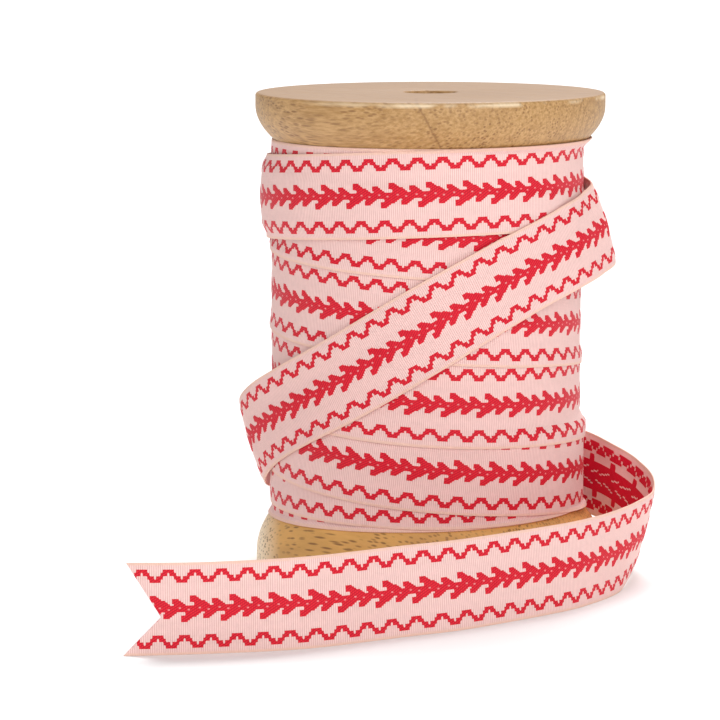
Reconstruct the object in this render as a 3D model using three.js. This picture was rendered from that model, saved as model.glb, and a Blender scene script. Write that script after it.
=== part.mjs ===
// Woven ribbon wound on a turned wooden spool: a loose turn crosses the others and runs off into a tail
// that stands on its edge. Millimetres, +Z up. Everything is laid out about the spool's axis, and the
// group is then centred on its footprint. A turn is an angle in degrees along the way the ribbon is
// wound: -90 right, 0 front, 90 left, 180 back.

import * as THREE from 'three';

const clearance = 0.3;
const facetRoom = 0.12;

const spool = {
  height: 91,
  flangeRadius: 33.4,
  rimHeight: 2.5,
  undercut: { foot: 0.048, head: 0.085 },
  coreRadius: 26.5,
  boreRadius: 5,
  edgeRound: 0.6,
  flangeSteps: 6,
  sides: 56,
};

const ribbon = {
  width: 16,
  weave: 0.4,
  sheet: 1.0,
  edgeFade: 1.6,
};

// The hidden turns make a drum that is fuller on the left, where the hand-wound ribbon is slack.
const drum = { radius: 29.25, slack: 0.75, sides: 48, rows: 46, flangeRoom: 0.55, innerRoom: 0.9 };

// Height of the ribbon's middle on each visible turn, from the first wound to the last.
const turns = [
  { right: 20.3, front: 19.0, left: 17.9, back: 18.8 },
  { right: 20.1, front: 19.4, left: 20.2, back: 19.9 },
  { right: 19.5, front: 22.6, left: 27.6, back: 30.2 },
  { right: 33.0, front: 34.9, left: 38.7, back: 42.9 },
  { right: 47.0, front: 50.4, left: 54.3, back: 58.9 },
  { right: 63.3, front: 66.0, left: 69.2, back: 72.0 },
  { right: 74.2, front: 74.2, left: 74.1, back: 74.3 },
  { right: 74.4, front: 74.0, left: 71.2, back: 68.8 },
];

// The last turn stands off the drum on the left, barrelled across its width.
const looseTurn = { from: 40, to: 140, height: 71, lift: 1.4 };

// The turn that crosses all the others: lift is off the drum, lean tips the upper edge outwards.
const crossing = [
  { turn: -170, height: 68.6, lift: 0.4, lean: 0 },
  { turn: -130, height: 67.6, lift: 0.8, lean: -5 },
  { turn: -92, height: 66.4, lift: 2.3, lean: -17 },
  { turn: -73, height: 64.8, lift: 1.7, lean: -13 },
  { turn: -55, height: 62.6, lift: 0.8, lean: -6 },
  { turn: -30, height: 57.9, lift: 0.1, lean: 0 },
  { turn: 0, height: 49.6, lift: 0, lean: 0 },
  { turn: 30, height: 40.0, lift: 0, lean: 0 },
  { turn: 53, height: 33.6, lift: 0.4, lean: 4 },
  { turn: 74, height: 28.2, lift: 1.3, lean: 11 },
  { turn: 92, height: 23.5, lift: 2.2, lean: 18 },
  { turn: 112, height: 20.7, lift: 1.7, lean: 13 },
  { turn: 140, height: 19.2, lift: 0.6, lean: 5 },
  { turn: 180, height: 18.5, lift: 0.2, lean: 0 },
  { turn: 222, height: 18.0, lift: 0.3, lean: 0 },
];

// The tail in plan, from the drum to the cut end: rise is its lower edge above the floor.
const tail = [
  { x: 30.6, y: 10.8, rise: 8.0, lean: 0 },
  { x: 35.4, y: 3.1, rise: 6.7, lean: -2 },
  { x: 38.8, y: -2.7, rise: 4.7, lean: 5 },
  { x: 40.8, y: -9.6, rise: 2.7, lean: 11 },
  { x: 40.0, y: -17.4, rise: 1.4, lean: 14.5 },
  { x: 37.3, y: -26.7, rise: 0.6, lean: 9 },
  { x: 34.2, y: -34.0, rise: 0, lean: 2 },
  { x: 29.7, y: -42.2, rise: 0, lean: 0 },
  { x: 22.5, y: -51.2, rise: 0, lean: -3 },
  { x: 5.5, y: -66.1, rise: 0, lean: -7 },
  { x: -5.4, y: -73.0, rise: 0, lean: -7 },
  { x: -23.0, y: -84.2, rise: 0, lean: -3 },
  { x: -40.3, y: -89.0, rise: 0, lean: 0 },
  { x: -54.0, y: -90.0, rise: 0, lean: -6 },
];

const swallowtail = { depth: 6.6, notchHeight: -1.4, reach: 12 };

// Lines along the sheet, as shares of its half width, beside the one through the notch.
const sheetLines = { below: [-1, -0.6], above: [0.3, 0.65, 1] };
const endStep = 3.6;
const footSnap = 0.3;

// How far about a point of the sheet the turns under it are looked for: degrees and millimetres.
const searched = { turns: [-5, 0, 5], heights: [-1.8, 0, 1.8], flange: [-0.5, 0, 0.5] };

const wood = new THREE.MeshStandardMaterial({ color: 0xc89b66, roughness: 0.6, metalness: 0 });
const wovenDrum = new THREE.MeshStandardMaterial({ color: 0xf2c9c2, roughness: 0.85, metalness: 0 });
const wovenEnd = new THREE.MeshStandardMaterial({ color: 0xe88f8f, roughness: 0.85, metalness: 0 });

const radians = THREE.MathUtils.degToRad;
const clamp = THREE.MathUtils.clamp;

function onTurn(turn, radius, height) {
  const angle = radians(turn);
  return new THREE.Vector3(-radius * Math.sin(angle), -radius * Math.cos(angle), height);
}

function turnOf(point) {
  return THREE.MathUtils.radToDeg(Math.atan2(-point.x, -point.y));
}

// Triangles between rows of vertices. rows[i][j] is a vertex number, and each row closes on itself.
function meshOfLoops(points, rows, closed, caps, material, name) {
  const index = [];
  const last = closed ? rows.length : rows.length - 1;
  for (let i = 0; i < last; i++) {
    const here = rows[i];
    const next = rows[(i + 1) % rows.length];
    for (let j = 0; j < here.length; j++) {
      const k = (j + 1) % here.length;
      index.push(here[j], next[k], next[j], here[j], here[k], next[k]);
    }
  }
  for (const triangle of caps) index.push(...triangle);
  const geometry = new THREE.BufferGeometry();
  geometry.setAttribute('position', new THREE.Float32BufferAttribute(points.flatMap((p) => p.toArray()), 3));
  geometry.setIndex(index);
  geometry.computeVertexNormals();
  const mesh = new THREE.Mesh(geometry, material);
  mesh.name = name;
  return mesh;
}

// A flange's side is upright near its face, then curves in to the core, and the one at the foot is thicker.
function flangeRadiusAt(depth, undercut) {
  const past = Math.max(0, depth - spool.rimHeight);
  return spool.flangeRadius - undercut * past * past;
}

function flangeDepthAt(radius, undercut) {
  return spool.rimHeight + Math.sqrt((spool.flangeRadius - radius) / undercut);
}

function flangeRadiusAtHeight(height) {
  const foot = flangeRadiusAt(height, spool.undercut.foot);
  return Math.max(foot, flangeRadiusAt(spool.height - height, spool.undercut.head));
}

// Half of the spool's section, from the bore over one flange to the core, as radius and depth.
function flangeSection(undercut) {
  const inner = flangeDepthAt(spool.coreRadius, undercut);
  const corner = spool.edgeRound * (1 - Math.SQRT1_2);
  const half = [[spool.boreRadius, 0], [spool.flangeRadius - spool.edgeRound, 0]];
  half.push([spool.flangeRadius - corner, corner]);
  half.push([spool.flangeRadius, spool.edgeRound]);
  for (let i = 0; i <= spool.flangeSteps; i++) {
    const depth = THREE.MathUtils.lerp(spool.rimHeight, inner, i / spool.flangeSteps);
    half.push([flangeRadiusAt(depth, undercut), depth]);
  }
  return half;
}

function makeSpool() {
  const lower = flangeSection(spool.undercut.foot).map(([r, z]) => new THREE.Vector2(r, z));
  const upper = flangeSection(spool.undercut.head).map(([r, z]) => new THREE.Vector2(r, spool.height - z));
  const profile = [...lower, ...upper.reverse()];
  const points = [];
  const rows = [];
  for (let i = 0; i < spool.sides; i++) {
    const turn = (360 * i) / spool.sides;
    rows.push(profile.map((p, j) => points.length + j));
    points.push(...profile.map((p) => onTurn(turn, p.x, p.y)));
  }
  return meshOfLoops(points, rows, true, [], wood, 'spool');
}

// Heights at the quarter turns in order, joined by a smooth curve through them.
const quarterHeights = turns.flatMap((t) => [t.right, t.front, t.left, t.back]);
const heightCurve = new THREE.SplineCurve(quarterHeights.map((h, i) => new THREE.Vector2(i, h)));

function middleHeight(wound) {
  const quarters = clamp(wound / 90, 0, quarterHeights.length - 1);
  return heightCurve.getPoint(quarters / (quarterHeights.length - 1)).y;
}

function drumRadius(turn) {
  return drum.radius + drum.slack * Math.sin(radians(turn));
}

// Outer surface of the winding: the drum plus one weave for each visible turn that lies here.
function windingRadius(turn, height) {
  const fromRight = THREE.MathUtils.euclideanModulo(turn + 90, 360);
  let radius = drumRadius(turn);
  for (let i = 0; i < turns.length; i++) {
    const off = Math.abs(height - middleHeight(fromRight + 360 * i));
    radius += ribbon.weave * clamp((ribbon.width / 2 - off) / ribbon.edgeFade + 0.5, 0, 1);
  }
  const across = (height - looseTurn.height) / (ribbon.width / 2);
  const along = (fromRight - 90 - looseTurn.from) / (looseTurn.to - looseTurn.from);
  if (Math.abs(across) < 1 && along > 0 && along < 1) {
    radius += looseTurn.lift * Math.sin(Math.PI * along) * (1 - across * across);
  }
  return radius;
}

// The ribbon's edges ride up on the flanges, so the winding flares along them.
function makeWinding() {
  const points = [];
  const rows = [];
  const innerRadius = spool.coreRadius + clearance + facetRoom;
  const innerBottom = flangeDepthAt(innerRadius, spool.undercut.foot) + drum.innerRoom;
  const innerTop = spool.height - flangeDepthAt(innerRadius, spool.undercut.head) - drum.innerRoom;
  for (let i = 0; i < drum.sides; i++) {
    const turn = (360 * i) / drum.sides;
    const fromRight = THREE.MathUtils.euclideanModulo(turn + 90, 360);
    const passes = turns.map((_, k) => middleHeight(fromRight + 360 * k));
    const bottom = Math.min(...passes) - ribbon.width / 2;
    const top = Math.max(...passes) + ribbon.width / 2;
    rows.push(Array.from({ length: drum.rows + 3 }, (_, j) => points.length + j));
    points.push(onTurn(turn, innerRadius, innerBottom));
    for (let j = 0; j <= drum.rows; j++) {
      const height = THREE.MathUtils.lerp(bottom, top, j / drum.rows);
      const overFlange = flangeRadiusAtHeight(height) + drum.flangeRoom;
      points.push(onTurn(turn, Math.max(windingRadius(turn, height), overFlange), height));
    }
    points.push(onTurn(turn, innerRadius, innerTop));
  }
  return meshOfLoops(points, rows, true, [], wovenDrum, 'ribbon_wound');
}

// The sheet's centre line: the crossing turn on the drum, then the tail.
function endStations() {
  const overDrum = 2 * ribbon.weave + clearance + ribbon.sheet / 2;
  const onDrum = crossing.map((row) => {
    const point = onTurn(row.turn, drumRadius(row.turn) + overDrum + row.lift, row.height);
    return { point, lean: row.lean };
  });
  const free = tail.map((row) => {
    const middle = row.rise + (ribbon.width / 2) * Math.cos(radians(row.lean));
    return { point: new THREE.Vector3(row.x, row.y, middle), lean: row.lean };
  });
  return [...onDrum, ...free];
}

// Keeps a point of the sheet's inner face clear of the turns under it and of the flanges.
function clearOfWinding(point) {
  const radius = Math.hypot(point.x, point.y);
  if (radius > spool.flangeRadius + ribbon.sheet || point.z < 0 || point.z > spool.height) return 0;
  const flange = Math.max(...searched.flange.map((up) => flangeRadiusAtHeight(point.z + up)));
  let needed = flange + drum.flangeRoom;
  for (const side of searched.turns) {
    for (const up of searched.heights) {
      needed = Math.max(needed, windingRadius(turnOf(point) + side, point.z + up));
    }
  }
  return Math.max(0, needed + clearance + facetRoom - radius);
}

function makeEnd() {
  const stations = endStations();
  const line = new THREE.CatmullRomCurve3(stations.map((s) => s.point), false, 'catmullrom', 0.5);
  line.arcLengthDivisions = 2000;
  const leanLine = new THREE.SplineCurve(stations.map((s, i) => new THREE.Vector2(i, s.lean)));
  const length = line.getLength();
  const steps = Math.round(length / endStep);
  const half = ribbon.width / 2;
  const below = sheetLines.below.map((share) => share * half);
  const above = sheetLines.above.map((share) => share * half);
  const columns = [...below, swallowtail.notchHeight, ...above];

  const lastAt = (across) => {
    const side = across > swallowtail.notchHeight ? half : -half;
    const toTip = (across - swallowtail.notchHeight) / (side - swallowtail.notchHeight);
    return length - swallowtail.depth * (1 - toTip);
  };
  const section = (along, across) => {
    const u = clamp(along / length, 0, 1);
    const centre = line.getPointAt(u);
    const forward = line.getTangentAt(u);
    const lean = radians(leanLine.getPoint(line.getUtoTmapping(u)).y);
    const level = new THREE.Vector3(forward.y, -forward.x, 0).normalize();
    if (level.dot(new THREE.Vector3(centre.x, centre.y, 0)) < 0) level.negate();
    const rising = new THREE.Vector3().crossVectors(level, forward).normalize();
    if (rising.z < 0) rising.negate();
    const up = rising.clone().multiplyScalar(Math.cos(lean)).addScaledVector(level, Math.sin(lean));
    const out = level.clone().multiplyScalar(Math.cos(lean)).addScaledVector(rising, -Math.sin(lean));
    const middle = centre.clone().addScaledVector(up, across);
    const inner = middle.clone().addScaledVector(out, -ribbon.sheet / 2);
    const push = clearOfWinding(inner);
    const away = new THREE.Vector3(inner.x, inner.y, 0).normalize().multiplyScalar(push);
    const pair = { inner: inner.add(away), outer: middle.addScaledVector(out, ribbon.sheet / 2).add(away) };
    for (const p of [pair.inner, pair.outer]) {
      if (p.z < footSnap) p.z = 0;
    }
    return pair;
  };

  const points = [];
  const rows = [];
  for (let i = 0; i <= steps; i++) {
    const even = (length * i) / steps;
    const cutFrom = length - swallowtail.reach;
    const pairs = columns.map((across) => {
      const stretch = (lastAt(across) - cutFrom) / swallowtail.reach;
      return section(even <= cutFrom ? even : cutFrom + (even - cutFrom) * stretch, across);
    });
    rows.push(Array.from({ length: 2 * columns.length }, (_, j) => points.length + j));
    points.push(...pairs.map((p) => p.outer), ...pairs.map((p) => p.inner).reverse());
  }
  const caps = [];
  const around = 2 * columns.length;
  for (let j = 0; j < columns.length - 1; j++) {
    const loop = [j, j + 1, around - 2 - j, around - 1 - j];
    const first = loop.map((k) => rows[0][k]);
    const final = loop.map((k) => rows[steps][k]);
    caps.push([first[0], first[2], first[1]], [first[0], first[3], first[2]]);
    caps.push([final[0], final[1], final[2]], [final[0], final[2], final[3]]);
  }
  return meshOfLoops(points, rows, false, caps, wovenEnd, 'ribbon_end');
}

const group = new THREE.Group();
group.add(makeSpool(), makeWinding(), makeEnd());

const bounds = new THREE.Box3().setFromObject(group);
group.position.set(-(bounds.min.x + bounds.max.x) / 2, -(bounds.min.y + bounds.max.y) / 2, -bounds.min.z);

export default group;
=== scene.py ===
# Woven ribbon wound on a wooden spool, with a loose crossing turn and a tail standing on its edge.
# Sizes are in millimetres about the spool's axis, and onFrame() puts them into the frame in metres.
import math
import bmesh
import bpy
import numpy as np
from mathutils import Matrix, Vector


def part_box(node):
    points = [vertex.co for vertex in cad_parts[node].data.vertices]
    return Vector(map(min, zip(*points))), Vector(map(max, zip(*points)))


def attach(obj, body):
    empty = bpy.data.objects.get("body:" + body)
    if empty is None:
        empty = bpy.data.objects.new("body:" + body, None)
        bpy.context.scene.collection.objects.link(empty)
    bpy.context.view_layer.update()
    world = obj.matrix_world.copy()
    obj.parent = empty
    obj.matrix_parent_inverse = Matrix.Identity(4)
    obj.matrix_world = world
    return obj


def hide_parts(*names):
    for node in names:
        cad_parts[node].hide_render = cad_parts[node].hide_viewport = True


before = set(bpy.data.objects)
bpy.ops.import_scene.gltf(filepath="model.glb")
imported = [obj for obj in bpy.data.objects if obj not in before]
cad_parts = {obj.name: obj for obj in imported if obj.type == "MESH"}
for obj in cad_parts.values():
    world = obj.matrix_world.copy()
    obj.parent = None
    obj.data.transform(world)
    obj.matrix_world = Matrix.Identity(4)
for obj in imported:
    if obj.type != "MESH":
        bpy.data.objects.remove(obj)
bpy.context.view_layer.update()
mm = 0.001
spoolLow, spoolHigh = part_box("spool")
axisX = (spoolLow[0] + spoolHigh[0]) / 2
axisY = (spoolLow[1] + spoolHigh[1]) / 2
print("frame loaded:", sorted(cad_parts))


def onFrame(points):
    return np.asarray(points, float) * mm + np.array([axisX, axisY, 0.0])


# camera, floor and light

view = {
    "x": -13.42, "y": -760.0, "z": 137.4,  # where the camera stands, from the spool's axis
    "pitch": 7.35,      # degrees below level
    "lens": 199.05, "sensor": 36.0,
}

studio = {
    "floorSize": 24000.0,
    "floorColour": (0.93, 0.93, 0.93, 1), "floorRoughness": 0.9, "floorShine": 0.1,
    "sky": 0.46,
    # azimuths run from the camera's side to the right
    "key": {"elevation": 25.0, "azimuth": 18.0, "strength": 1.45, "spread": 50.0},
    "back": {"elevation": 55.0, "azimuth": 170.0, "strength": 2.9, "spread": 35.0},
}


def addCamera():
    cameraData = bpy.data.cameras.new("photoCamera")
    cameraData.lens = view["lens"]
    cameraData.sensor_width = view["sensor"]
    cameraData.clip_end = 100
    camera = bpy.data.objects.new("photoCamera", cameraData)
    bpy.context.scene.collection.objects.link(camera)
    camera.location = onFrame([view["x"], view["y"], view["z"]])
    camera.rotation_euler = (math.radians(90 - view["pitch"]), 0, 0)
    bpy.context.scene.camera = camera


def addSun(name, setting):
    lightData = bpy.data.lights.new(name, "SUN")
    lightData.energy = setting["strength"]
    lightData.angle = math.radians(setting["spread"])
    light = bpy.data.objects.new(name, lightData)
    bpy.context.scene.collection.objects.link(light)
    light.rotation_euler = (math.radians(90 - setting["elevation"]), 0, math.radians(setting["azimuth"]))


def addStudio():
    world = bpy.data.worlds.new("paleRoom")
    world.use_nodes = True
    world.node_tree.nodes["Background"].inputs["Color"].default_value = (1, 1, 1, 1)
    world.node_tree.nodes["Background"].inputs["Strength"].default_value = studio["sky"]
    bpy.context.scene.world = world
    bpy.context.scene.view_settings.view_transform = "Standard"
    bpy.ops.object.select_all(action="DESELECT")
    bpy.ops.mesh.primitive_plane_add(size=studio["floorSize"] * mm, location=(axisX, axisY, 0))
    floor = bpy.context.object
    floor.name = "floor"
    bpy.ops.object.transform_apply(location=True, rotation=True, scale=True)
    paint = bpy.data.materials.new("paleFloor")
    paint.use_nodes = True
    shader = paint.node_tree.nodes["Principled BSDF"]
    shader.inputs["Base Color"].default_value = studio["floorColour"]
    shader.inputs["Roughness"].default_value = studio["floorRoughness"]
    shader.inputs["Specular IOR Level"].default_value = studio["floorShine"]
    floor.data.materials.append(paint)
    addSun("keyLight", studio["key"])
    addSun("backLight", studio["back"])


addCamera()
addStudio()
print("camera, floor and lights set")


# the spool

spool = {
    "height": 91.0, "flangeRadius": 33.4, "coreRadius": 26.5, "boreRadius": 5.0,
    "rimHeight": 2.5,      # upright part of the flange's side
    "undercut": {"foot": 0.048, "head": 0.085},   # how fast the side curves in past it
    "edgeRound": 0.6, "boreRound": 0.5,
    "curveSteps": 16, "roundSteps": 4, "steps": 160,
    "mergeWithin": 0.00001, "smoothAngle": 35.0,
}


def flangeRadiusAt(depth, undercut):
    past = np.maximum(0, depth - spool["rimHeight"])
    return spool["flangeRadius"] - undercut * past * past


def flangeProfile(undercut):
    # from the mouth of the bore over the flange to the core, depths from the flange's outer face
    inner = spool["rimHeight"] + math.sqrt((spool["flangeRadius"] - spool["coreRadius"]) / undercut)
    profile = []
    for i in range(spool["roundSteps"] + 1):
        turn = math.pi / 2 * i / spool["roundSteps"]
        profile.append((spool["boreRadius"] + spool["boreRound"] * (1 - math.cos(turn)),
                        spool["boreRound"] * (1 - math.sin(turn))))
    for i in range(spool["roundSteps"] + 1):
        turn = math.pi / 2 * i / spool["roundSteps"]
        profile.append((spool["flangeRadius"] - spool["edgeRound"] * (1 - math.sin(turn)),
                        spool["edgeRound"] * (1 - math.cos(turn))))
    for i in range(spool["curveSteps"] + 1):
        depth = spool["rimHeight"] + (inner - spool["rimHeight"]) * i / spool["curveSteps"]
        profile.append((float(flangeRadiusAt(depth, undercut)), depth))
    return profile


def spoolProfile():
    foot = flangeProfile(spool["undercut"]["foot"])
    head = flangeProfile(spool["undercut"]["head"])
    return foot + [(r, spool["height"] - z) for r, z in reversed(head)]


def turnSpool():
    profile = spoolProfile()
    bpy.ops.object.select_all(action="DESELECT")
    bpy.ops.mesh.primitive_circle_add(vertices=len(profile), radius=spool["flangeRadius"] * mm)
    turned = bpy.context.object
    turned.name = "turnedSpool"
    for vertex, (r, z) in zip(turned.data.vertices, profile):
        vertex.co = onFrame([r, 0, z])
    bpy.ops.object.mode_set(mode="EDIT")
    bpy.ops.mesh.select_all(action="SELECT")
    bpy.ops.mesh.spin(steps=spool["steps"], angle=math.tau, center=(axisX, axisY, 0), axis=(0, 0, 1))
    bpy.ops.mesh.select_all(action="SELECT")
    bpy.ops.mesh.remove_doubles(threshold=spool["mergeWithin"])
    bpy.ops.mesh.normals_make_consistent(inside=False)
    bpy.ops.object.mode_set(mode="OBJECT")
    bpy.ops.object.shade_smooth_by_angle(angle=math.radians(spool["smoothAngle"]))
    return turned


# the ribbon's weave: ribs run across it, and red floats are raised on a pink ground

ribbon = {
    "width": 16.0, "thickness": 0.36, "layer": 0.4,
    "edgeShare": 0.55,      # of the thickness, left at the two edges
    "rib": 0.378,           # one rib along the ribbon
    "ribRelief": 0.03, "floatRelief": 0.09,
    "selvedge": 0.38,
    "waveOuter": 6.84, "waveStep": 0.578, "waveLevels": 4,
    "vineHalf": 2.6, "vineRows": 9,
    "guard": 0.3,           # a plain row next to each figure, so that its edge stays crisp
    "backStep": 4, "backKept": 6.2,     # a hidden back keeps each fourth row, and all rows past this
    "bridge": 1.7,          # how far past an edge the next layer comes down
    "lowest": 0.02,         # above the ground
    "nudge": 0.05, "mergeWithin": 0.000001, "smoothAngle": 65.0,
}
half = ribbon["width"] / 2
waveInner = ribbon["waveOuter"] - ribbon["waveStep"] * ribbon["waveLevels"]
vineRow = ribbon["vineHalf"] / ribbon["vineRows"]

chart = {
    "waveRepeat": 12, "vineRepeat": 18,
    # ribs from the crest that are red on each level, the outer one first
    "levels": [(0, 2), (1, 3), (3, 5), (4, 6)],
    "thinLevels": [(0, 1), (2, 2), (4, 4), (5, 6)],
    "stemRows": 2, "tieRepeat": 9,
    "longLeaf": [(4, 7), (4, 7), (2, 7), (2, 6), (2, 5), (2, 4), (2, 4), (2, 3), (2, 2)],
    "shortLeaf": [(3, 5), (2, 5), (2, 5), (2, 4), (2, 3), (2, 2)],
    "above": {"long": 0, "short": 10, "tie": 4, "crest": 2},
    "below": {"long": 14, "short": 6, "tie": 8, "crest": 3},
}


def acrossRows():
    # heights across the ribbon where the mesh has a line, from the lower edge to the upper
    vine = np.linspace(0, ribbon["vineHalf"], ribbon["vineRows"] + 1)
    guard = ribbon["guard"]
    plain = [ribbon["vineHalf"] + guard, waveInner - guard]
    wave = np.linspace(waveInner, ribbon["waveOuter"], ribbon["waveLevels"] + 1)
    edge = [ribbon["waveOuter"] + guard, half - ribbon["selvedge"], half]
    upper = np.concatenate([vine, plain, wave, edge])
    return np.concatenate([-upper[:0:-1], upper])


def waveRed(rib, out, side, levels):
    # ribs are counted from the wave's crest, levels from its outer side
    repeat = chart["waveRepeat"]
    offset = np.abs((-1 - rib - side["crest"] + repeat / 2) % repeat - repeat / 2)
    low, high = chart[levels][int((ribbon["waveOuter"] - out) / ribbon["waveStep"])]
    return (offset >= low) & (offset <= high)


def leafRed(rib, row, side, spine=False):
    # ribs are counted back from each leaf's tip, rows out from the stem's middle
    red = np.zeros(len(rib), bool)
    for size in ("long", "short"):
        back = (-1 - rib - side[size]) % chart["vineRepeat"]
        for place, (low, high) in enumerate(chart[size + "Leaf"]):
            middle = (low + high) // 2
            hit = row == middle if spine else low <= row <= high
            if hit:
                red |= back == place
    return red


def faceRed(rib, middles):
    # one column per rib, one row per strip of the mesh: 1 where a red float shows
    red = np.zeros((len(rib), len(middles)))
    for j, across in enumerate(middles):
        out = abs(across)
        side = chart["above"] if across > 0 else chart["below"]
        if waveInner < out < ribbon["waveOuter"]:
            red[:, j] = waveRed(rib, out, side, "levels")
        elif out < ribbon["vineHalf"]:
            row = int(out / vineRow)
            red[:, j] = leafRed(rib, row, side) | (row < chart["stemRows"])
    return red


reverse = {"lobe": 3.7, "valley": 2.5, "shift": 4}


def reverseRed(rib, middles):
    # the back: red lobes down the middle with thin pink lines, and red patches beside a thin pink wave
    red = np.zeros((len(rib), len(middles)))
    for j, across in enumerate(middles):
        out = abs(across)
        side = chart["above"] if across > 0 else chart["below"]
        if waveInner < out < ribbon["waveOuter"]:
            red[:, j] = ~waveRed(rib, out, side, "thinLevels")
        elif out < waveInner:
            phase = ((-1 - rib - side["long"] + reverse["shift"]) / chart["vineRepeat"]) % 1
            reach = reverse["valley"] + (reverse["lobe"] - reverse["valley"]) * np.sqrt(1 - phase)
            red[:, j] = (out < reach) & ~leafRed(rib, int(out / vineRow), side, spine=True)
    return red


# how the ribbon is wound: right, front, left and back heights of its middle on each turn, first wound first

winding = {
    "radius": 29.25, "slack": 0.75,    # the hidden turns, fuller on the left
    "heights": [
        (20.3, 19.0, 17.9, 18.8),
        (20.1, 19.4, 20.2, 19.9),
        (19.5, 22.6, 27.6, 30.2),
        (33.0, 34.9, 38.7, 42.9),
        (47.0, 50.4, 54.3, 58.9),
        (63.3, 66.0, 69.2, 72.0),
        (74.2, 74.2, 74.1, 74.3),
        (74.4, 74.0, 71.2, 68.8),
    ],
    # rib numbers at the front of each turn, met so many degrees to its right and to its left
    "metAt": 50,
    "frontRibs": [(7, 7.4), (2.2, 2.4), (28.2, 27.8), (27.2, 25.4), (18.7, 15.0), (7.3, 6.6), (15.3, 13.6),
                  (15.2, 14.2)],
    "looseFrom": 40.0, "looseTo": 140.0, "looseEdge": 0.45, "looseBelly": 0.95,
    "flangeGap": 0.08, "uneven": 0.05,
    "meanLayers": 0.8,     # of earlier turns under a visible one, in millimetres
}
woundHeights = np.array(winding["heights"]).ravel()
lastWound = 90.0 * (len(woundHeights) - 1)


def smoothThrough(rows, at):
    # a smooth curve through the rows of a table, 0 at the first
    rows = np.asarray(rows, float)
    at = np.clip(at, 0, len(rows) - 1)
    i = np.minimum(at.astype(int), len(rows) - 2)
    t = at - i
    if rows.ndim > 1:
        t = t[..., None]
    before, here, there, after = (rows[np.clip(i + k, 0, len(rows) - 1)] for k in (-1, 0, 1, 2))
    square = (2 * before - 5 * here + 4 * there - after) * t * t
    cube = (3 * here - before - 3 * there + after) * t ** 3
    return 0.5 * (2 * here + (there - before) * t + (square + cube))


def middleHeight(wound):
    return smoothThrough(woundHeights, wound / 90)


def drumRadius(turn):
    return winding["radius"] + winding["slack"] * np.sin(np.radians(turn))


def layersUnder(wound, height, turns):
    # thickness of the earlier turns at this place, each easing down past its edge
    total = np.zeros(np.broadcast(wound, height).shape)
    for k in range(1, turns + 1):
        earlier = wound - 360 * k
        off = np.abs(height - middleHeight(earlier))
        ease = np.clip((half + ribbon["bridge"] - off) / ribbon["bridge"], 0, 1)
        lies = (earlier >= 0) & (earlier <= lastWound)
        total += np.where(lies, ribbon["layer"] * ease * ease * (3 - 2 * ease), 0)
    return total


def clearOfFlanges(radius, height):
    foot = flangeRadiusAt(height, spool["undercut"]["foot"])
    head = flangeRadiusAt(spool["height"] - height, spool["undercut"]["head"])
    return np.maximum(radius, np.maximum(foot, head) + winding["flangeGap"])


def uneven(wound, across):
    # hand-wound ribbon lies a little proud here and there
    swell = np.sin(np.radians(wound * 5.3)) * np.sin(across * 0.21 + wound * 0.031)
    return winding["uneven"] * (swell + 0.6 * np.sin(np.radians(wound * 11.7) + across * 0.33))


def woundSurface(wound, across):
    # points of the ribbon's middle surface; the ribs stand square to the way it climbs
    turn = wound - 90
    slope = np.arctan2(middleHeight(wound + 1) - middleHeight(wound - 1), np.radians(2) * winding["radius"])
    place = wound - np.degrees(across * np.sin(slope) / winding["radius"])
    height = middleHeight(wound) + across * np.cos(slope)
    turns = int(np.max(wound) // 360.0001)     # a turn's own last rib still counts to it
    base = clearOfFlanges(drumRadius(place - 90), height)
    radius = base + layersUnder(place, height, turns) + ribbon["layer"] / 2 + uneven(wound, across)
    if turns == len(winding["heights"]) - 1:
        along = (turn - 360 * turns - winding["looseFrom"]) / (winding["looseTo"] - winding["looseFrom"])
        belly = winding["looseEdge"] + winding["looseBelly"] * (1 - (across / half) ** 2)
        radius = radius + np.sin(np.pi * np.clip(along, 0, 1)) * belly
    angle = np.radians(place - 90)
    return np.stack([-radius * np.sin(angle), -radius * np.cos(angle), height], axis=-1)


# the crossing turn and the tail: one path that starts where the winding ends

crossing = {
    "rows": [   # turn, height, lift off the drum, lean of the upper edge outwards
        (-180, 68.8, 0, 0), (-170, 68.6, 0.1, 0), (-130, 67.6, 0.8, -5), (-92, 66.4, 2.3, -17),
        (-73, 64.8, 1.7, -13), (-55, 62.6, 0.8, -6), (-30, 57.9, 0.1, 0), (0, 49.6, 0, 0), (30, 40.0, 0, 0),
        (53, 33.6, 0.4, 4), (74, 28.2, 1.3, 11), (92, 23.5, 2.2, 18), (112, 20.7, 1.7, 13),
        (140, 19.2, 0.6, 5), (180, 18.5, 0.2, 0), (222, 18.0, 0.3, 0),
    ],
    # ribs that the weave gains or loses up to a length along the path
    "slips": [(0, 0), (60, -7.6), (131, -8.0), (314, -26.4), (332, -30.5), (350, -37), (368, -43),
              (380, -45), (405, -45.2)],
    "resting": 1.0, "lifted": 0.9,    # off the drum where it lies, and more where it is lifted
    "belly": 0.6, "splitRow": 14, "gap": 0.12,
    "lapRows": 4,              # the last rows go round a second time
    "heldWithin": 1.5, "heldAbove": 8.0,    # past the flange's radius, and above the ground
    "fullLean": 18, "samples": 6000, "slipSamples": 400, "step": 0.01,
}

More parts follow.
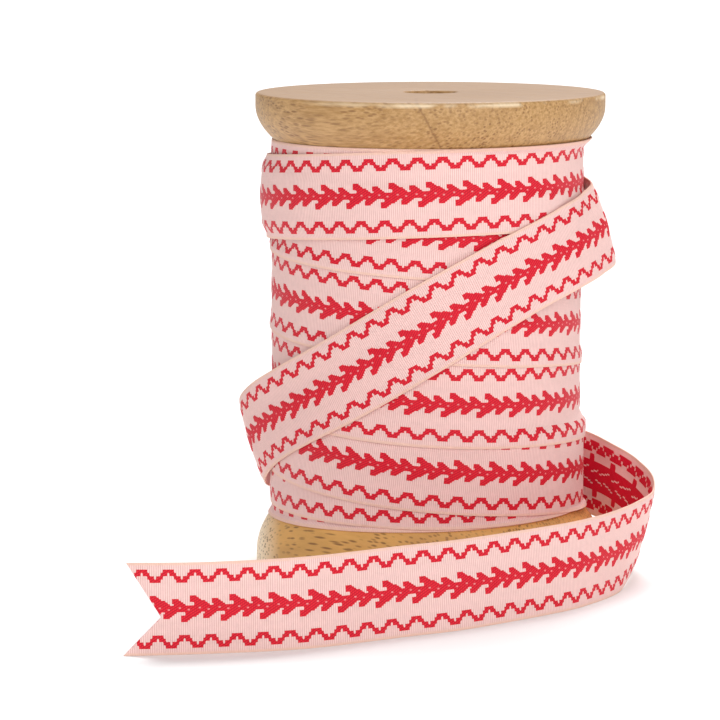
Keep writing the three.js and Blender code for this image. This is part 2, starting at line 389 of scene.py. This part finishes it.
tail = {
    "rows": [   # x, y, rise of the lower edge, lean
        (30.6, 10.8, 8.0, 0), (35.4, 3.1, 6.7, -2), (38.8, -2.7, 4.7, 5), (40.8, -9.6, 2.7, 11),
        (40.0, -17.4, 1.4, 14.5), (37.3, -26.7, 0.6, 9), (34.2, -34.0, 0, 2), (29.7, -42.2, 0, 0),
        (22.5, -51.2, 0, -3), (5.5, -66.1, 0, -7), (-5.4, -73.0, 0, -7), (-23.0, -84.2, 0, -3),
        (-40.3, -89.0, 0, 0), (-54.0, -90.0, 0, -6),
    ],
    "notchDepth": 6.3, "notchAt": -1.4, "notchSkew": 0.3,
    "belly": 0.35,
}


def pathRows():
    rows = []
    for turn, height, lift, lean in crossing["rows"]:
        over = crossing["resting"] + crossing["lifted"] * min(1, lift) + lift
        radius = float(drumRadius(turn)) + over
        angle = math.radians(turn)
        rows.append((-radius * math.sin(angle), -radius * math.cos(angle), height, lean))
    for x, y, rise, lean in tail["rows"]:
        rows.append((x, y, rise + half * math.cos(math.radians(lean)), lean))
    return np.array(rows)


path = pathRows()
fine = np.linspace(0, len(path) - 1, crossing["samples"])
finePoints = smoothThrough(path, fine)
fineLength = np.concatenate([[0], np.cumsum(np.linalg.norm(np.diff(finePoints[:, :3], axis=0), axis=1))])
pathLength = float(fineLength[-1])


def unit(vectors):
    return vectors / np.linalg.norm(vectors, axis=-1, keepdims=True)


def pathSurface(length, across):
    at = np.interp(length, fineLength, fine)
    here = smoothThrough(path, at)
    middle, lean = here[..., :3], np.radians(here[..., 3:])
    ahead = smoothThrough(path, np.clip(at + crossing["step"], 0, len(path) - 1))[..., :3]
    behind = smoothThrough(path, np.clip(at - crossing["step"], 0, len(path) - 1))[..., :3]
    forward = unit(ahead - behind)
    level = unit(np.stack([forward[..., 1], -forward[..., 0], 0 * forward[..., 0]], axis=-1))
    level = level * np.where((level * middle).sum(-1, keepdims=True) < 0, -1, 1)
    rising = unit(np.cross(level, forward))
    rising = rising * np.where(rising[..., 2:] < 0, -1, 1)
    up = rising * np.cos(lean) + level * np.sin(lean)
    out = level * np.cos(lean) - rising * np.sin(lean)
    bow = (1 - (across / half) ** 2) * np.clip(np.abs(here[..., 3]) / crossing["fullLean"], 0, 1)
    belly = np.where(at < len(crossing["rows"]), crossing["belly"], tail["belly"])
    points = middle + up * across[..., None] + out * (belly * bow)[..., None]
    # the crossing turn is held off the turns under it
    radius = np.hypot(points[..., 0], points[..., 1])
    turn = np.degrees(np.arctan2(-points[..., 0], -points[..., 1]))
    lap = np.where(at > len(crossing["rows"]) - crossing["lapRows"], 360, 0)
    wound = lastWound + (turn + 180) % 360 + lap
    base = clearOfFlanges(drumRadius(turn), points[..., 2])
    layers = layersUnder(wound, points[..., 2], len(winding["heights"]) + 1)
    needed = base + layers + ribbon["layer"] / 2 + crossing["gap"]
    near = radius < spool["flangeRadius"] + crossing["heldWithin"]
    near &= points[..., 2] > crossing["heldAbove"]
    push = np.where(near, np.maximum(0, needed - radius), 0)
    points[..., 0] += push * points[..., 0] / radius
    points[..., 1] += push * points[..., 1] / radius
    return points


def ribsOfWinding():
    # rib numbers along the winding, so that each turn shows its leaves where the photograph does
    perDegree = math.radians(winding["radius"] + winding["meanLayers"]) / ribbon["rib"]
    repeat = 2 * chart["vineRepeat"]
    places, numbers = [0.0], [0.0]
    for i, pair in enumerate(winding["frontRibs"]):
        for side, shift in zip((-winding["metAt"], winding["metAt"]), pair):
            place = 360.0 * i + 90 + side
            expected = numbers[-1] + (place - places[-1]) * perDegree
            number = side * perDegree + shift
            numbers.append(number + repeat * round((expected - number) / repeat))
            places.append(place)
    numbers.append(numbers[-1] + (lastWound - places[-1]) * perDegree)
    places.append(lastWound)
    return np.array(places), np.array(numbers)


def vertexMean(cells):
    # the mean over the cells round each vertex of a grid
    padded = np.pad(cells, 1, mode="edge")
    return (padded[1:, 1:] + padded[:-1, 1:] + padded[1:, :-1] + padded[:-1, :-1]) / 4


def sheetLoops(surface, rows, backRows, lengths, figures, perRib, endAt):
    # points round the sheet's section at each line along it: up the face, then down the back
    along = np.repeat(lengths[:, None], len(rows), axis=1)
    across = np.repeat(rows[None, :], len(lengths), axis=0)
    cut = np.zeros(along.shape, bool)
    if endAt is not None:
        end = endAt(across)
        cut = along >= end
        along = np.minimum(along, end)
    middle = surface(along, across)
    nudge = ribbon["nudge"]
    ahead = surface(along + nudge, across) - surface(along - nudge, across)
    upward = surface(along, across + nudge) - surface(along, across - nudge)
    out = unit(np.cross(upward, ahead))

    thick = ribbon["thickness"] / 2
    ribWave = np.where(np.arange(len(lengths)) % perRib == 1, ribbon["ribRelief"], -ribbon["ribRelief"])
    atEdge = np.abs(rows) > half - 0.01
    raised = []
    for red in figures:
        lift = ribbon["floatRelief"] * vertexMean(red) + ribWave[:, None]
        lift = thick * np.where(atEdge, ribbon["edgeShare"], 1.0) + lift * ~atEdge
        raised.append(np.where(cut, thick, lift))
    front = middle + out * raised[0][..., None]
    rear = middle[:, backRows] - out[:, backRows] * raised[1][:, backRows][..., None]
    loops = np.concatenate([front, rear[:, ::-1], front[:, :1]], axis=1)
    loops[..., 2] = np.maximum(loops[..., 2], ribbon["lowest"])
    return loops


def gridSheet(name, loops):
    # a grid through the loops, and the column and row of each of its vertices
    columns, around = loops.shape[0] - 1, loops.shape[1] - 1
    bpy.ops.object.select_all(action="DESELECT")
    bpy.ops.mesh.primitive_grid_add(x_subdivisions=columns, y_subdivisions=around, size=1)
    sheet = bpy.context.object
    sheet.name = name
    flat = np.empty(len(sheet.data.vertices) * 3)
    sheet.data.vertices.foreach_get("co", flat)
    flat = flat.reshape(-1, 3)
    ix = np.rint((flat[:, 0] + 0.5) * columns).astype(int)
    iy = np.rint((flat[:, 1] + 0.5) * around).astype(int)
    sheet.data.vertices.foreach_set("co", onFrame(loops[ix, iy]).ravel())
    return sheet, ix, iy


def addMask(mesh, name, domain, values):
    mask = mesh.attributes.new(name, "FLOAT", domain)
    mask.data.foreach_set("value", values)


# the bake's map cuts the strip into rows, laid one above the other
bakeRoom = {"rows": 2, "left": 0.005, "width": 0.99, "foot": 0.01, "height": 0.97, "between": 0.5}


def mapForBake(mesh, rows, backRows, columns, cornerX, cornerY, cellX):
    whole = 4 * half + 2 * bakeRoom["between"]
    back = 3 * half + bakeRoom["between"] - rows[backRows][::-1]
    girth = np.concatenate([rows + half, back, [whole]]) / whole
    perRow = columns / bakeRoom["rows"]
    bakeRow = np.repeat(np.floor((cellX + 0.5) / perRow), 4)
    bakeU = bakeRoom["left"] + bakeRoom["width"] * (cornerX - bakeRow * perRow) / (perRow + 1)
    bakeV = (bakeRow + bakeRoom["foot"] + bakeRoom["height"] * girth[cornerY]) / bakeRoom["rows"]
    bakeMap = mesh.uv_layers.new(name="OFBake")
    bakeMap.data.foreach_set("uv", np.stack([bakeU, bakeV], axis=1).ravel())


def capEnds(mesh, ix, iy, rowCount, backRows):
    # closes the sheet's two ends, with a face for each strip of the back
    build = bmesh.new()
    build.from_mesh(mesh)
    build.verts.ensure_lookup_table()
    grid = np.empty((ix.max() + 1, iy.max() + 1), int)
    grid[ix, iy] = np.arange(len(ix))
    for column, flip in ((0, False), (ix.max(), True)):
        for k, (low, high) in enumerate(zip(backRows, backRows[1:])):
            strip = [grid[column, j] for j in range(low, high + 1)]
            strip += [grid[column, rowCount + len(backRows) - 1 - j] for j in (k + 1, k)]
            cap = build.faces.new([build.verts[v] for v in (strip if flip else strip[::-1])])
            cap.smooth = True
    bmesh.ops.remove_doubles(build, verts=build.verts, dist=ribbon["mergeWithin"])
    bmesh.ops.recalc_face_normals(build, faces=build.faces)
    build.to_mesh(mesh)
    build.free()


def weaveSheet(name, surface, firstRib, lastRib, ribPlaces, perRib, backStep, endAt=None):
    # a closed sheet: the face with all its rows, the back with fewer where it doesn't show
    rows = acrossRows()
    backRows = [j for j in range(len(rows)) if j % backStep == 0 or abs(rows[j]) > ribbon["backKept"]]
    columns = perRib * (lastRib - firstRib)
    ribs = firstRib + np.arange(columns + 1) / perRib
    middles = (rows[1:] + rows[:-1]) / 2
    numbers = np.floor(firstRib + (np.arange(columns) + 0.5) / perRib).astype(int)
    face = faceRed(numbers, middles)
    back = reverseRed(numbers, middles)
    loops = sheetLoops(surface, rows, backRows, np.interp(ribs, *ribPlaces), (face, back), perRib, endAt)
    sheet, ix, iy = gridSheet(name, loops)

    mesh = sheet.data
    corner = np.empty(len(mesh.loops), np.int32)
    mesh.loops.foreach_get("vertex_index", corner)
    cornerX, cornerY = ix[corner], iy[corner]
    cellX = cornerX.reshape(-1, 4).min(axis=1)
    cellY = cornerY.reshape(-1, 4).min(axis=1)
    # only a back with all its rows shows its own figure
    facePoints, backPoints = vertexMean(face), vertexMean(back)[:, backRows][:, ::-1]
    backCells = back[:, ::-1]
    if backStep > 1:
        backPoints = np.zeros(backPoints.shape)
        backCells = np.zeros((columns, len(backRows) - 1))
    edge = np.zeros((columns, 1))
    redCells = np.concatenate([face, edge, backCells, edge], axis=1)
    redPoints = np.concatenate([facePoints, backPoints, facePoints[:, :1]], axis=1)
    onBack = (cellY >= len(rows)) & (cellY < len(rows) + len(backRows) - 1)
    addMask(mesh, "floatCells", "FACE", redCells[cellX, cellY])
    addMask(mesh, "floats", "POINT", redPoints[ix, iy])
    addMask(mesh, "reverse", "FACE", onBack.astype(float))

    # U counts ribs and V runs across in millimetres
    heights = np.concatenate([rows, rows[backRows][::-1], rows[:1]])
    weaveMap = mesh.uv_layers[0]
    weaveMap.name = "weave"
    weaveMap.data.foreach_set("uv", np.stack([ribs[cornerX], heights[cornerY]], axis=1).ravel())
    mapForBake(mesh, rows, backRows, columns, cornerX, cornerY, cellX)
    capEnds(mesh, ix, iy, len(rows), backRows)
    bpy.ops.object.shade_smooth_by_angle(angle=math.radians(ribbon["smoothAngle"]))
    return sheet


def layWraps():
    places, numbers = ribsOfWinding()
    wraps = []
    for i in range(len(winding["heights"])):
        start = 360.0 * i
        stop = min(start + 360, lastWound)
        first, last = (int(round(float(np.interp(w, places, numbers)))) for w in (start, stop))
        wrap = weaveSheet("wrap%d" % (i + 1), woundSurface, first, last, (numbers, places), 1,
                          ribbon["backStep"])
        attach(wrap, "root")
        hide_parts("ribbon_wound")
        wraps.append(wrap)
        print("laid", wrap.name, "ribs", first, last)
    return wraps, last


def swallowtail(across):
    side = np.where(across > tail["notchAt"], half, -half)
    toTip = (across - tail["notchAt"]) / (side - tail["notchAt"])
    return pathLength - tail["notchSkew"] * (1 + across / half) - tail["notchDepth"] * (1 - toTip)


def layEnd(firstRib):
    splitLength = float(np.interp(crossing["splitRow"], fine, fineLength))
    slipAt, slip = np.array(crossing["slips"], float).T
    lengths = np.linspace(0, pathLength, crossing["slipSamples"])
    numbers = firstRib + lengths / ribbon["rib"] + np.interp(lengths, slipAt, slip)
    middleRib = int(round(float(np.interp(splitLength, lengths, numbers))))
    splitLength = float(np.interp(middleRib, numbers, lengths))
    lastRib = int(math.ceil(numbers[-1]))
    ribPlaces = (numbers, lengths)
    over = weaveSheet("crossingTurn", pathSurface, firstRib, middleRib, ribPlaces, 2, ribbon["backStep"])
    free = weaveSheet("standingTail", pathSurface, middleRib, lastRib, ribPlaces, 2, 1, swallowtail)
    for sheet, length, held in ((over, splitLength, "stretched"), (free, pathLength - splitLength, "draped")):
        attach(sheet, "root")
        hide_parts("ribbon_end")
    print("laid the crossing turn and the tail, to rib", lastRib)
    return over, free


# materials: the shared effects are node groups that put out colours, masks and heights

def calc(tree, operation, *values):
    node = tree.nodes.new("ShaderNodeMath")
    node.operation = operation
    for socket, value in zip(node.inputs, values):
        if isinstance(value, (int, float)):
            socket.default_value = value
        else:
            tree.links.new(value, socket)
    return node.outputs[0]


def mixColour(tree, factor, first, second, blend="MIX"):
    node = tree.nodes.new("ShaderNodeMix")
    node.data_type = "RGBA"
    node.blend_type = blend
    sockets = (node.inputs["Factor"], node.inputs[6], node.inputs[7])
    for socket, value in zip(sockets, (factor, first, second)):
        if isinstance(value, (tuple, float, int)):
            socket.default_value = value
        else:
            tree.links.new(value, socket)
    return node.outputs[2]


def spread(tree, value, low, high, newLow=0.0, newHigh=1.0):
    node = tree.nodes.new("ShaderNodeMapRange")
    for place, number in enumerate((low, high, newLow, newHigh), 1):
        node.inputs[place].default_value = number
    tree.links.new(value, node.inputs[0])
    return node.outputs[0]


def noise(tree, vector, scale, detail=2.0, roughness=0.5):
    node = tree.nodes.new("ShaderNodeTexNoise")
    node.inputs["Scale"].default_value = scale
    node.inputs["Detail"].default_value = detail
    node.inputs["Roughness"].default_value = roughness
    tree.links.new(vector, node.inputs["Vector"])
    return node.outputs["Fac"]


def combine(tree, x, y, z=0.0):
    node = tree.nodes.new("ShaderNodeCombineXYZ")
    for socket, value in zip(node.inputs, (x, y, z)):
        if isinstance(value, (int, float)):
            socket.default_value = value
        else:
            tree.links.new(value, socket)
    return node.outputs[0]


def newGroup(name, inputs, outputs):
    group = bpy.data.node_groups.new(name, "ShaderNodeTree")
    for title, kind in inputs:
        group.interface.new_socket(name=title, in_out="INPUT", socket_type="NodeSocket" + kind)
    for title, kind in outputs:
        group.interface.new_socket(name=title, in_out="OUTPUT", socket_type="NodeSocket" + kind)
    return group, group.nodes.new("NodeGroupInput").outputs, group.nodes.new("NodeGroupOutput").inputs


def useGroup(tree, group, **values):
    node = tree.nodes.new("ShaderNodeGroup")
    node.node_tree = group
    for title, value in values.items():
        if isinstance(value, (tuple, float, int)):
            node.inputs[title].default_value = value
        else:
            tree.links.new(value, node.inputs[title])
    return node.outputs


weave = {
    # the groove colours are painted shade in the ribs' grooves
    "ground": (0.89, 0.625, 0.585, 1), "groundGrooveShade": (0.64, 0.34, 0.315, 1),
    "red": (0.79, 0.016, 0.036, 1), "redGrooveShade": (0.40, 0.003, 0.014, 1),
    "backGround": (0.95, 0.61, 0.58, 1), "backRed": (0.74, 0.007, 0.04, 1),
    "selvedge": (0.84, 0.55, 0.44, 1), "tieColour": (0.86, 0.42, 0.42, 1),
    "redFrom": (0.38, 0.48),      # how much of the smoothed chart counts as red
    "cellShare": 0.25, "backLess": 0.15,    # the unsmoothed chart's share in that, and less on the back
    "threads": 3.6,       # weft threads to a millimetre across the ribbon
    "floatThreads": 2.1, "floatSlant": 0.5,
    "grooveSharpness": 2.4, "humpHeight": 0.8, "threadHeight": 0.16, "unevenHeight": 0.4,
    # the groove and thread shares here set how strong the painted shade is in the rib grooves and between the
    # red floats' threads
    "groundGrooves": 0.9, "redGrooves": 0.6, "redThreadShade": 0.85, "backTint": 0.8, "tieShare": 0.6,
    "selvedgeFrom": (0.55, 0.35), "selvedgeShare": 0.85,
    "tones": (0.93, 1.05), "unevenTone": 0.6,
    "bump": 0.5, "bumpDepth": 0.0001,
    "roughness": 0.66, "floatRoughness": 0.5, "shine": 0.18, "sheen": 0.03, "sheenRoughness": 0.5,
    "tieRow": 0.15, "tieReach": 0.13,
}


def stemTies():
    # the pinpoints of ground between the stem's stitches
    group, given, put = newGroup("stemTies", (("Rib", "Float"), ("Across", "Float")), (("Mask", "Float"),))
    counted = calc(group, "SUBTRACT", -1.0, calc(group, "FLOOR", given["Rib"]))
    counted = calc(group, "FLOORED_MODULO", counted, float(chart["tieRepeat"]))
    masks = []
    for side, row in ((chart["above"], weave["tieRow"]), (chart["below"], -weave["tieRow"])):
        onRib = calc(group, "COMPARE", counted, float(side["tie"]), 0.3)
        onRow = calc(group, "COMPARE", given["Across"], row, weave["tieReach"])
        masks.append(calc(group, "MULTIPLY", onRib, onRow))
    group.links.new(calc(group, "ADD", *masks), put["Mask"])
    return group


def ribThreads():
    # the ribs' grooves, the threads that lie across them, and how far the floats stand out
    inputs = (("Rib", "Float"), ("Across", "Float"), ("Red", "Float"))
    outputs = (("Groove", "Float"), ("Thread", "Float"), ("Height", "Float"), ("Tone", "Float"))
    group, given, put = newGroup("ribThreads", inputs, outputs)
    part = calc(group, "ABSOLUTE", calc(group, "SUBTRACT", calc(group, "FRACT", given["Rib"]), 0.5))
    groove = calc(group, "POWER", calc(group, "MULTIPLY", part, 2.0), weave["grooveSharpness"])
    plain = calc(group, "SINE", calc(group, "MULTIPLY", given["Across"], math.tau * weave["threads"]))
    slanted = calc(group, "ADD", calc(group, "MULTIPLY", given["Across"], weave["floatThreads"]),
                   calc(group, "MULTIPLY", given["Rib"], weave["floatSlant"]))
    satin = calc(group, "SINE", calc(group, "MULTIPLY", slanted, math.tau))
    keepPlain = calc(group, "MULTIPLY", plain, calc(group, "SUBTRACT", 1.0, given["Red"]))
    thread = calc(group, "ADD", keepPlain, calc(group, "MULTIPLY", satin, given["Red"]))
    whole = calc(group, "FLOOR", given["Rib"])
    uneven = noise(group, combine(group, calc(group, "MULTIPLY", whole, 0.71), given["Across"]), 0.9, 3.0)
    broad = noise(group, combine(group, calc(group, "MULTIPLY", given["Rib"], 0.03), given["Across"]), 0.35)
    hump = calc(group, "MULTIPLY", calc(group, "SUBTRACT", 1.0, groove), weave["humpHeight"])
    height = calc(group, "ADD", hump, calc(group, "MULTIPLY", thread, weave["threadHeight"]))
    height = calc(group, "ADD", height, calc(group, "MULTIPLY", uneven, weave["unevenHeight"]))
    tone = calc(group, "MULTIPLY", uneven, weave["unevenTone"])
    tone = calc(group, "ADD", tone, calc(group, "MULTIPLY", broad, 1 - weave["unevenTone"]))
    for title, value in (("Groove", groove), ("Thread", thread), ("Height", height), ("Tone", tone)):
        group.links.new(value, put[title])
    return group


def ribbonMaterial():
    material = bpy.data.materials.new("wovenRibbon")
    material.use_nodes = True
    tree = material.node_tree
    shader = tree.nodes["Principled BSDF"]
    uv = tree.nodes.new("ShaderNodeUVMap")
    uv.uv_map = "weave"
    split = tree.nodes.new("ShaderNodeSeparateXYZ")
    tree.links.new(uv.outputs[0], split.inputs[0])
    masks = []
    for title in ("floats", "floatCells", "reverse"):
        mask = tree.nodes.new("ShaderNodeAttribute")
        mask.attribute_name = title
        masks.append(mask.outputs["Fac"])
    corners, cells, behind = masks
    points = calc(tree, "MULTIPLY", corners, 1 - weave["cellShare"])
    floats = calc(tree, "ADD", points, calc(tree, "MULTIPLY", cells, weave["cellShare"]))
    floats = calc(tree, "SUBTRACT", floats, calc(tree, "MULTIPLY", behind, weave["backLess"]))
    floats = spread(tree, floats, *weave["redFrom"])
    threads = useGroup(tree, ribThreads(), Rib=split.outputs[0], Across=split.outputs[1], Red=floats)
    # painted shade: the ribs' grooves darken the pink ground and the red floats
    shade = calc(tree, "MULTIPLY", threads["Groove"], weave["groundGrooves"])
    ground = mixColour(tree, shade, weave["ground"], weave["groundGrooveShade"])
    ground = mixColour(tree, behind, ground, weave["backGround"])
    # painted shade between the red floats' threads
    shade = spread(tree, threads["Thread"], -1.0, 0.3, weave["redThreadShade"], 0.0)
    shade = calc(tree, "MAXIMUM", shade, calc(tree, "MULTIPLY", threads["Groove"], weave["redGrooves"]))
    red = mixColour(tree, shade, weave["red"], weave["redGrooveShade"])
    red = mixColour(tree, calc(tree, "MULTIPLY", behind, weave["backTint"]), red, weave["backRed"])
    ties = useGroup(tree, stemTies(), Rib=split.outputs[0], Across=split.outputs[1])
    ties = calc(tree, "MULTIPLY", ties["Mask"], spread(tree, behind, 0.0, 1.0, weave["tieShare"], 0.0))
    red = mixColour(tree, ties, red, weave["tieColour"])
    colour = mixColour(tree, floats, ground, red)
    edgeFrom, edgeTo = (half - inward for inward in weave["selvedgeFrom"])
    edge = calc(tree, "ABSOLUTE", split.outputs[1])
    edge = spread(tree, edge, edgeFrom, edgeTo, 0.0, weave["selvedgeShare"])
    colour = mixColour(tree, edge, colour, weave["selvedge"])
    tone = spread(tree, threads["Tone"], 0.3, 0.7, *weave["tones"])
    colour = mixColour(tree, 1.0, colour, combine(tree, tone, tone, tone), "MULTIPLY")
    rough = spread(tree, floats, 0.0, 1.0, weave["roughness"], weave["floatRoughness"])
    tree.links.new(colour, shader.inputs["Base Color"])
    tree.links.new(rough, shader.inputs["Roughness"])
    shader.inputs["Specular IOR Level"].default_value = weave["shine"]
    shader.inputs["Sheen Weight"].default_value = weave["sheen"]
    shader.inputs["Sheen Roughness"].default_value = weave["sheenRoughness"]
    bump = tree.nodes.new("ShaderNodeBump")
    bump.inputs["Strength"].default_value = weave["bump"]
    bump.inputs["Distance"].default_value = weave["bumpDepth"]
    tree.links.new(threads["Height"], bump.inputs["Height"])
    tree.links.new(bump.outputs["Normal"], shader.inputs["Normal"])
    return material


wood = {
    "fibre": (0.77, -0.64),        # the way the fibres run, in plan
    "light": (0.55, 0.325, 0.135, 1), "mid": (0.39, 0.21, 0.066, 1), "dark": (0.29, 0.14, 0.04, 1),
    # the pale cream is a painted highlight on the foot's left edge, and on the rim it is worn chips with a
    # painted highlight
    "pore": (0.22, 0.10, 0.03, 1), "foot": (0.80, 0.43, 0.115, 1), "paleHighlightAndWear": (0.95, 0.79, 0.56, 1),
    "top": (0.325, 0.19, 0.108, 1), "orange": (0.78, 0.31, 0.11, 1),
    "poreLength": 7.0, "poreSpacing": 0.62, "poreShare": 0.85,
    "ringSpacing": 2.4, "ringWobble": 9.0, "ringShare": 0.5,
    "pith": (8.5, 86.5),           # across the fibres and up
    # each place is where it begins and is full, then the shares there
    "footHeights": (30.0, 16.0), "footShare": 0.75,
    # the pale edge is a painted highlight on the foot's left side
    "orangeEdge": (20.0, 30.0, 0.0, 0.35), "paintedEdgeHighlight": (-28.5, -32.5, 0.0, 0.85),
    "topHeights": (90.7, 91.0, 0.0, 0.75),
    "crack": (-2.4, 89.8, 0.53),   # x and height of its upper end, and how far it leans
    "crackWidth": (0.04, 0.34, 0.65, 0.0), "crackFront": -20.0, "crackAbove": 60.0,
    "rimHeight": 90.4, "rimReach": (0.0, 0.6, 0.7, 0.0),
    "roughness": (0.42, 0.6), "shine": 0.5, "bump": 0.35, "bumpDepth": 0.00008,
}


def woodGrain():
    # growth rings, pores drawn out along the fibres and fine streaks, for a point in millimetres
    inputs = (("Along", "Float"), ("Side", "Float"), ("Up", "Float"))
    outputs = [(title, "Float") for title in ("Ring", "Pore", "Streak", "Blotch", "Long")]
    group, given, put = newGroup("woodGrain", inputs, outputs)
    along, side, up = given["Along"], given["Side"], given["Up"]
    point = combine(group, calc(group, "MULTIPLY", along, 1 / wood["poreLength"]), side, up)
    slow = combine(group, calc(group, "MULTIPLY", along, 0.25), side, up)
    wobble = calc(group, "MULTIPLY", noise(group, slow, 0.08, 2.0), wood["ringWobble"])
    away = calc(group, "SUBTRACT", side, wood["pith"][0])
    height = calc(group, "SUBTRACT", up, wood["pith"][1])
    distance = calc(group, "SQRT", calc(group, "ADD", calc(group, "MULTIPLY", away, away),
                                        calc(group, "MULTIPLY", height, height)))
    rings = calc(group, "MULTIPLY", calc(group, "ADD", distance, wobble), math.tau / wood["ringSpacing"])
    ring = spread(group, calc(group, "SINE", rings), 0.2, 1.0)
    ring = calc(group, "MULTIPLY", ring, spread(group, distance, 3.0, 15.0, 1.0, 0.12))
    cells = group.nodes.new("ShaderNodeTexVoronoi")
    cells.inputs["Scale"].default_value = 1 / wood["poreSpacing"]
    group.links.new(point, cells.inputs["Vector"])
    hole = spread(group, cells.outputs["Distance"], 0.2, 0.42, 1.0, 0.0)
    patches = spread(group, noise(group, slow, 0.2, 2.0), 0.4, 0.58, 0.45, 1.0)
    group.links.new(ring, put["Ring"])
    group.links.new(calc(group, "MULTIPLY", hole, patches), put["Pore"])
    group.links.new(noise(group, point, 1.9, 4.0, 0.65), put["Streak"])
    group.links.new(noise(group, slow, 0.11, 3.0, 0.6), put["Blotch"])
    drawn = combine(group, calc(group, "MULTIPLY", along, 0.03), side, up)
    group.links.new(noise(group, drawn, 1.1, 4.0, 0.6), put["Long"])
    return group


def woodMaterial():
    material = bpy.data.materials.new("turnedWood")
    material.use_nodes = True
    tree = material.node_tree
    shader = tree.nodes["Principled BSDF"]
    coordinates = tree.nodes.new("ShaderNodeTexCoord")
    split = tree.nodes.new("ShaderNodeSeparateXYZ")
    tree.links.new(coordinates.outputs["Object"], split.inputs[0])
    x = calc(tree, "MULTIPLY", calc(tree, "SUBTRACT", split.outputs[0], axisX), 1000.0)
    y = calc(tree, "MULTIPLY", calc(tree, "SUBTRACT", split.outputs[1], axisY), 1000.0)
    up = calc(tree, "MULTIPLY", split.outputs[2], 1000.0)
    fibreX, fibreY = wood["fibre"]
    along = calc(tree, "ADD", calc(tree, "MULTIPLY", x, fibreX), calc(tree, "MULTIPLY", y, fibreY))
    side = calc(tree, "SUBTRACT", calc(tree, "MULTIPLY", x, -fibreY), calc(tree, "MULTIPLY", y, -fibreX))
    grain = useGroup(tree, woodGrain(), Along=along, Side=side, Up=up)
    colour = mixColour(tree, spread(tree, grain["Streak"], 0.38, 0.6), wood["mid"], wood["light"])
    colour = mixColour(tree, spread(tree, grain["Long"], 0.5, 0.7, 0.0, 0.35), colour, wood["dark"])
    colour = mixColour(tree, calc(tree, "MULTIPLY", grain["Ring"], wood["ringShare"]), colour, wood["dark"])
    low = spread(tree, up, *wood["footHeights"])
    darken = spread(tree, grain["Blotch"], 0.48, 0.72, 0.0, 0.3)
    darken = calc(tree, "MULTIPLY", darken, spread(tree, low, 0.0, 1.0, 0.8, 1.3))
    # the foot's golden tint, made lighter in part as painted light against the shade under the winding
    colour = mixColour(tree, calc(tree, "MULTIPLY", low, wood["footShare"]), colour, wood["foot"])
    orange = calc(tree, "MULTIPLY", low, spread(tree, x, *wood["orangeEdge"]))
    colour = mixColour(tree, orange, colour, wood["orange"])
    colour = mixColour(tree, darken, colour, wood["dark"])
    # painted highlight: the foot's left edge, lit from the side by the white room, is made pale cream
    pale = calc(tree, "MULTIPLY", low, spread(tree, x, *wood["paintedEdgeHighlight"]))
    colour = mixColour(tree, pale, colour, wood["paleHighlightAndWear"])
    colour = mixColour(tree, calc(tree, "MULTIPLY", grain["Pore"], wood["poreShare"]), colour, wood["pore"])
    # a drying crack across the front of the head, and the rim above it, pale with worn chips and partly a
    # painted highlight
    crackX, crackUp, crackSlope = wood["crack"]
    off = calc(tree, "SUBTRACT", x, crackX)
    off = calc(tree, "ADD", off, calc(tree, "MULTIPLY", calc(tree, "SUBTRACT", up, crackUp), crackSlope))
    off = calc(tree, "ADD", off, calc(tree, "MULTIPLY", calc(tree, "SUBTRACT", grain["Streak"], 0.5), 1.2))
    crack = spread(tree, calc(tree, "ABSOLUTE", off), *wood["crackWidth"])
    crack = calc(tree, "MULTIPLY", crack, calc(tree, "LESS_THAN", y, wood["crackFront"]))
    crack = calc(tree, "MULTIPLY", crack, calc(tree, "GREATER_THAN", up, wood["crackAbove"]))
    colour = mixColour(tree, crack, colour, wood["pore"])
    # the rim's pale band is worn chips and partly a painted highlight along the edge
    fromRim = calc(tree, "ABSOLUTE", calc(tree, "SUBTRACT", up, wood["rimHeight"]))
    rim = spread(tree, fromRim, *wood["rimReach"])
    rim = calc(tree, "MULTIPLY", rim, spread(tree, grain["Blotch"], 0.5, 0.6))
    colour = mixColour(tree, rim, colour, wood["paleHighlightAndWear"])
    top = mixColour(tree, spread(tree, grain["Long"], 0.4, 0.62, 0.0, 0.5), wood["top"], wood["dark"])
    colour = mixColour(tree, spread(tree, up, *wood["topHeights"]), colour, top)
    rough = spread(tree, grain["Streak"], 0.3, 0.7, *wood["roughness"])
    tree.links.new(colour, shader.inputs["Base Color"])
    tree.links.new(rough, shader.inputs["Roughness"])
    shader.inputs["Specular IOR Level"].default_value = wood["shine"]
    bump = tree.nodes.new("ShaderNodeBump")
    bump.inputs["Strength"].default_value = wood["bump"]
    bump.inputs["Distance"].default_value = wood["bumpDepth"]
    height = calc(tree, "SUBTRACT", calc(tree, "MULTIPLY", grain["Streak"], 0.5), grain["Pore"])
    tree.links.new(height, bump.inputs["Height"])
    tree.links.new(bump.outputs["Normal"], shader.inputs["Normal"])
    return material


turnedSpool = turnSpool()
turnedSpool.data.materials.append(woodMaterial())
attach(turnedSpool, "root")
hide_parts("spool")
print("spool turned:", len(turnedSpool.data.polygons), "faces")

woven = ribbonMaterial()
wraps, nextRib = layWraps()
endSheets = layEnd(nextRib)
for sheet in [*wraps, *endSheets]:
    sheet.data.materials.clear()
    sheet.data.materials.append(woven)

counts = [sum(len(p.vertices) - 2 for p in s.data.polygons) for s in [turnedSpool, *wraps, *endSheets]]
print("triangles:", sum(counts), "largest piece:", max(counts))
